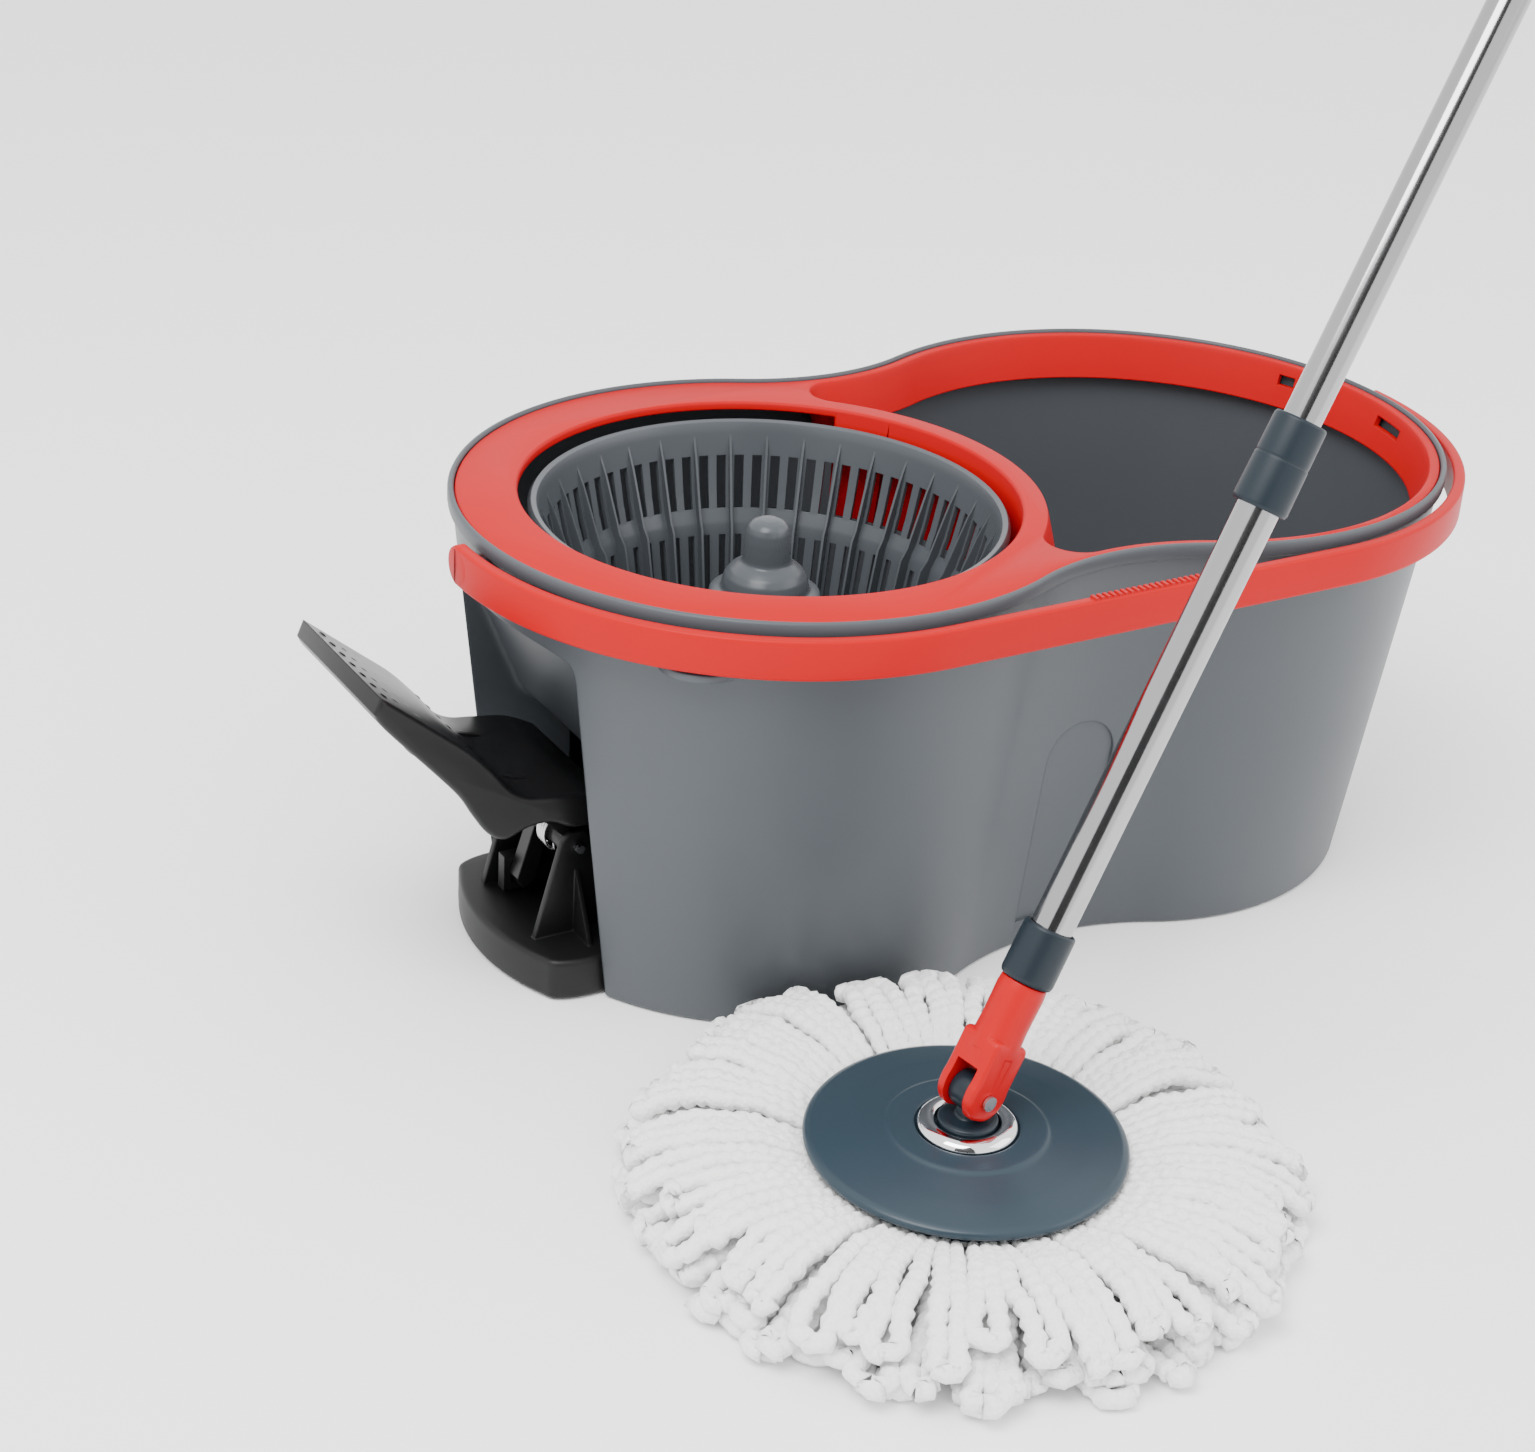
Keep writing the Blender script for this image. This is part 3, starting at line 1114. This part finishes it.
class SPINMOP_OT_pole(bpy.types.Operator):
    """Draw the pole: yoke, tubes, collars, grip and hanging cap"""

    bl_idname = "spinmop.pole"
    bl_label = "Pole"

    def execute(self, context):
        body = [(0.0, 0.0660), (0.0074, 0.0660), (0.0074, 0.0478), (0.0094, 0.0478), (0.0098, 0.0440)]
        body += [(0.0096, 0.0300), (0.0102, 0.0180), (0.0, 0.0120)]
        yoke = lathe("yoke_barrel", body, 80, ease=0.0006)
        fork = [(-0.0045, -0.0088), (0.0045, -0.0088), (0.0094, -0.0040), (0.0104, 0.0020), (0.0096, 0.0060)]
        fork += [(0.0098, 0.0240), (-0.0098, 0.0240), (-0.0096, 0.0060), (-0.0104, 0.0020)]
        fork = eased([*fork, (-0.0094, -0.0040)], 0.0030, 5)
        carve(yoke, slab("yoke_fork", fork, -0.0098, 0.0098, axis="Y", ease=0.0020), "UNION")
        gap = [(-0.0140, -0.0120), (0.0140, -0.0120), (0.0140, 0.0100), (0.0100, 0.0105)]
        gap += [(0.0040, 0.0150), (-0.0040, 0.0150), (-0.0100, 0.0105), (-0.0140, 0.0100)]
        carve(yoke, slab("yoke_gap", gap, -0.0055, 0.0055, axis="Y"))
        carve(yoke, rod("yoke_bore", 0.00215, -0.0200, 0.0200, "Y"))
        show(on_pole(yoke), "lower_pole", "yoke_red", "yoke")

        lower = [(LOWER_TUBE_R, 0.2700), (LOWER_TUBE_R, 0.0484), (0.0079, 0.0484), (0.0079, 0.2700)]
        tube = on_pole(lathe("lower_tube_drawn", lower, 96))
        show(tube, "lower_pole", "tube_steel", "lower_tube")
        collar = [(0.0101, 0.0710), (0.0107, 0.0700), (0.0109, 0.0500), (0.0103, 0.0481)]
        collar += [(LOWER_TUBE_R + TUBE_FIT, 0.0481), (LOWER_TUBE_R + TUBE_FIT, 0.0710)]
        ferrule = on_pole(lathe("ferrule", collar, 80, ease=0.0006))
        show(ferrule, "lower_pole", "collar_dark", "lower_collar")
        lock = [(0.0100, 0.2850), (0.0106, 0.2840), (0.0108, 0.2690), (0.0105, 0.2684), (0.0109, 0.2678)]
        lock += [(0.0112, 0.2500), (0.0106, 0.2485)]
        lock += [(LOWER_TUBE_R + TUBE_FIT, 0.2485), (LOWER_TUBE_R + TUBE_FIT, 0.2715)]
        lock += [(UPPER_TUBE_R + TUBE_FIT, 0.2730), (UPPER_TUBE_R + TUBE_FIT, 0.2850)]
        sleeve = on_pole(lathe("twist_sleeve", lock, 80, ease=0.0004))
        show(sleeve, "lock_collar", "lock_dark", "lock_collar")

        upper = [(UPPER_TUBE_R, 0.6300), (UPPER_TUBE_R, 0.1300), (0.0070, 0.1300), (0.0070, 0.6300)]
        tube = on_pole(lathe("upper_tube_drawn", upper, 96))
        show(tube, "upper_pole", "upper_steel", "upper_tube")
        grip = [(UPPER_TUBE_R + TUBE_FIT, 0.6200), (0.0098, 0.6200), (0.0112, 0.6182)]
        for i in range(24):
            z = 0.6130 - 0.0042 * i
            bulge = 0.0006 * math.sin(math.pi * i / 12)
            rib = ((0.0113, 0.0012), (0.0106, 0.0004), (0.0106, -0.0004), (0.0113, -0.0012))
            grip += [(r - bulge, z + up) for r, up in rib]
        grip += [(0.0112, 0.5020), (0.0096, 0.5000), (UPPER_TUBE_R + TUBE_FIT, 0.5000)]
        rubber = on_pole(lathe("ribbed_grip", grip, 80, ease=0.0003, steps=2))
        show(rubber, "upper_pole", "grip_dark", "hand_grip")
        top = [(0.0, 0.6480), (0.0050, 0.6474), (0.0078, 0.6460), (0.0104, 0.6400), (0.0110, 0.6205)]
        top += [(UPPER_TUBE_R + TUBE_FIT, 0.6205), (UPPER_TUBE_R + TUBE_FIT, 0.6304), (0.0, 0.6304)]
        cap = lathe("cap_body", top, 80, ease=0.0006)
        tab = slab("cap_tab", arc((0, 0.6520), 0.0098, 0, 354, 59), -0.0025, 0.0025, axis="Y", ease=0.0008)
        carve(cap, tab, "UNION")
        carve(cap, rod("cap_hole", 0.0050, -0.02, 0.02, "Y", (0, 0.6535), 48))
        cap.name = "cap_eye"
        show(on_pole(cap), "upper_pole", "cap_red", "hanger_cap")
        return {"FINISHED"}


class SPINMOP_OT_base(bpy.types.Operator):
    """Draw the drive base: foot plate, pedal brackets with gussets, and the tray under the basket"""

    bl_idname = "spinmop.base"
    bl_label = "Drive base"

    @staticmethod
    def outline(inset_by, inner):
        """The foot plate's outline, moved inward, from its inner edge round the pedal side."""
        s = SPIN.x
        loop = [(s - inner, -0.0520), (s - 0.1140, -0.0520), (s - 0.1250, -0.0485)]
        loop = [(x, y + inset_by) for x, y in loop]
        loop += arc((s - 0.037, 0), 0.1000 - inset_by, 205, 155, 24)
        loop += [(x, -y) for x, y in reversed(loop[:3])]
        return loop

    @staticmethod
    def socket(bore, outer, floor, top):
        """The profile of a round post that stands in the tray, bored from above."""
        foot = 0.0030
        return [(bore, floor), (bore, top), (outer, top), (outer, foot), (0.0, foot), (0.0, floor)]

    def execute(self, context):
        s = SPIN.x
        tray = [(0.0, 0.0006), (0.0853, 0.0006), (0.0853, 0.0036), (0.0, 0.0036)]
        parts = [lathe("tray", tray, 128, SPIN, ease=0.0006)]
        cup = [(0.0015, 0.0036), (0.0035, 0.0036), (0.0035, 0.0010), (0.0058, 0.0010), (0.0058, 0.0062)]
        cup.append((0.0015, 0.0062))
        for angle in TOWER_ANGLES:
            at = around(SPIN, TOWER_PLACE_R, angle)
            carve(parts[0], rod("head_room", 0.0035, -0.001, 0.0040, centre=at))
            parts.append(lathe(f"cup_{angle}", cup, 32, at))
        plate = eased(self.outline(0.0, 0.066), 0.007, 5)
        foot = slab("foot_plate", plate, 0.0006, 0.0200, ease=0.0026, steps=5)
        carve(foot, slab("foot_hollow", self.outline(0.0026, 0.0885), -0.001, 0.0172))
        parts.append(foot)
        cheek = [(s - 0.1240, 0.0190), (s - 0.0880, 0.0190), (s - 0.0975, 0.0650), (s - 0.1010, 0.0692)]
        cheek += [(s - 0.1070, 0.0692), (s - 0.1115, 0.0650)]
        for side in (-1, 1):
            parts.append(slab(f"bracket_{side}", cheek, *sided(side, 0.0242, 0.0277), axis="Y", ease=0.0005))
            rib = [(side * 0.0270, 0.0190), (side * 0.0430, 0.0190), (side * 0.0270, 0.0520)]
            web = slab(f"gusset_{side}", rib, -0.0010, 0.0010, axis="Y")
            web.data.transform(Matrix.Translation((s - 0.1040, 0, 0)) @ Matrix.Rotation(math.pi / 2, 4, "Z"))
            parts.append(web)
        parts.append(block("rack_bed", (s - 0.040, 0.0085, 0.0030), (s + 0.046, 0.0172, 0.0247)))
        parts.append(block("rack_guide", (s - 0.034, 0.0085, 0.0240), (s + 0.046, 0.0111, 0.0330)))
        parts.append(lathe("spindle_bearing", self.socket(0.0043, 0.0080, 0.0042, 0.0220), 48, SPIN))
        axle = JOINTS["step_gear_spin"]["pos_m"]
        parts.append(lathe("axle_boss", self.socket(0.0029, 0.0058, 0.0050, 0.0235), 40, axle))
        for i, (x, y) in enumerate(((-0.0135, 0.0298), (0.0514, 0.0262), (0.0131, -0.0141))):
            parts.append(lathe(f"lid_post_{i}", self.socket(0.0013, 0.0042, 0.0050, 0.0119), 32, (s + x, y)))
        base = merged("base_casting", parts)
        show(base, "bucket", "base_black", "drive_base")
        return {"FINISHED"}


class SPINMOP_OT_small_parts(bpy.types.Operator):
    """Give the nodes that are shown as they are their smooth shading and materials"""

    bl_idname = "spinmop.small_parts"
    bl_label = "Small parts"

    def execute(self, context):
        slots = {part["node"]: part["material_slot"] for part in frame["record"]["subparts"]}
        for name, obj in frame["nodes"].items():
            obj.data.materials.clear()
            obj.data.materials.append(finish_of(slots[name]))
            obj.data.shade_smooth()
            obj.data.set_sharp_from_angle(angle=math.radians(30))
        return {"FINISHED"}


class SPINMOP_OT_stage(bpy.types.Operator):
    """Set the floor, the lights and the camera"""

    bl_idname = "spinmop.stage"
    bl_label = "Studio"

    @staticmethod
    def area(name, power, size, at, target):
        """A square light that faces its target."""
        data = bpy.data.lights.new(name, "AREA")
        data.energy = power
        data.size = size
        light = bpy.data.objects.new(name, data)
        light.location = at
        light.rotation_euler = (Vector(target) - Vector(at)).to_track_quat("-Z", "Y").to_euler()
        bpy.context.scene.collection.objects.link(light)

    @staticmethod
    def even_finish(name, colour, rough):
        """A finish with no detail, for the studio's own surfaces."""
        mat, _, shader = start_material(name)
        shader.inputs["Base Color"].default_value = (*colour, 1.0)
        shader.inputs["Roughness"].default_value = rough
        return mat

    def execute(self, context):
        studio = context.scene.spin_mop_studio
        bm = bmesh.new()
        bmesh.ops.create_grid(bm, x_segments=1, y_segments=1, size=6.0)
        floor = to_object("studio_floor", bm, outward=False)
        floor.data.materials.append(self.even_finish("studio_white", (0.96, 0.96, 0.96), 0.9))
        bm = bmesh.new()
        bmesh.ops.create_cube(bm, size=1.0)
        card = to_object("dark_card", bm)
        card.data.transform(Matrix.Diagonal((0.95, 0.01, 3.4, 1.0)))
        card.location = (-0.86, -1.20, 1.75)
        card.rotation_euler = (0, 0, math.radians(-32))
        card.data.materials.append(self.even_finish("card_black", (0.01, 0.01, 0.01), 0.5))
        card.visible_camera = False
        card.visible_shadow = False
        card.visible_diffuse = False

        world = bpy.data.worlds.new("surround")
        world.use_nodes = True
        back = world.node_tree.nodes["Background"]
        back.inputs["Color"].default_value = (1.0, 1.0, 1.0, 1.0)
        back.inputs["Strength"].default_value = studio.world
        context.scene.world = world
        self.area("key_light", studio.key, 1.1, (-0.9, -0.5, 1.7), (0, -0.1, 0.1))
        self.area("fill_light", studio.fill, 1.6, (1.4, -1.2, 1.2), (0, -0.1, 0.1))

        camera = bpy.data.cameras.new("camera")
        camera.lens = studio.lens
        camera.sensor_width = 36.0
        camera.clip_start = 0.05
        camera.clip_end = 50.0
        eye = bpy.data.objects.new("camera", camera)
        yaw, pitch, roll = (math.radians(a) for a in CAMERA_ANGLES)
        ahead = Vector((math.sin(yaw) * math.cos(pitch), math.cos(yaw) * math.cos(pitch), -math.sin(pitch)))
        right = Vector((math.cos(yaw), -math.sin(yaw), 0.0))
        up = right.cross(ahead)
        right, up = (
            right * math.cos(roll) + up * math.sin(roll),
            up * math.cos(roll) - right * math.sin(roll),
        )
        turn_to = Matrix((right, up, -ahead)).transposed()
        eye.matrix_world = Matrix.Translation(CAMERA_AT) @ turn_to.to_4x4()
        context.scene.collection.objects.link(eye)
        context.scene.camera = eye
        return {"FINISHED"}


PIECES = (
    SPINMOP_OT_small_parts,
    SPINMOP_OT_bucket,
    SPINMOP_OT_guard,
    SPINMOP_OT_handle,
    SPINMOP_OT_base,
    SPINMOP_OT_pedal,
    SPINMOP_OT_basket,
    SPINMOP_OT_fringe,
    SPINMOP_OT_head,
    SPINMOP_OT_pole,
    SPINMOP_OT_stage,
)


class SPINMOP_PT_panel(bpy.types.Panel):
    """Lists the pieces and their settings"""

    bl_idname = "SPINMOP_PT_panel"
    bl_label = "Spin Mop"
    bl_space_type = "VIEW_3D"
    bl_region_type = "UI"
    bl_category = "Spin Mop"

    def draw(self, context):
        for setting in GROUPS:
            group = getattr(context.scene, setting)
            box = self.layout.box()
            for name in group.__annotations__:
                box.prop(group, name)
        for piece in PIECES:
            self.layout.operator(piece.bl_idname)


GROUPS = {
    "spin_mop_colours": SpinMopColours,
    "spin_mop_sizes": SpinMopSizes,
    "spin_mop_studio": SpinMopStudio,
}


def register():
    for cls in (*GROUPS.values(), *PIECES, SPINMOP_PT_panel):
        bpy.utils.register_class(cls)
    for name, group in GROUPS.items():
        setattr(bpy.types.Scene, name, PointerProperty(type=group))


def unregister():
    for name in GROUPS:
        delattr(bpy.types.Scene, name)
    for cls in reversed((*GROUPS.values(), *PIECES, SPINMOP_PT_panel)):
        bpy.utils.unregister_class(cls)


def main():
    register()
    bpy.ops.spinmop.small_parts()
    bpy.ops.spinmop.bucket()
    bpy.ops.spinmop.guard()
    bpy.ops.spinmop.handle()
    bpy.ops.spinmop.base()
    bpy.ops.spinmop.pedal()
    bpy.ops.spinmop.basket()
    bpy.ops.spinmop.fringe()
    bpy.ops.spinmop.head()
    bpy.ops.spinmop.pole()
    bpy.ops.spinmop.stage()


if __name__ == "__main__":
    main()
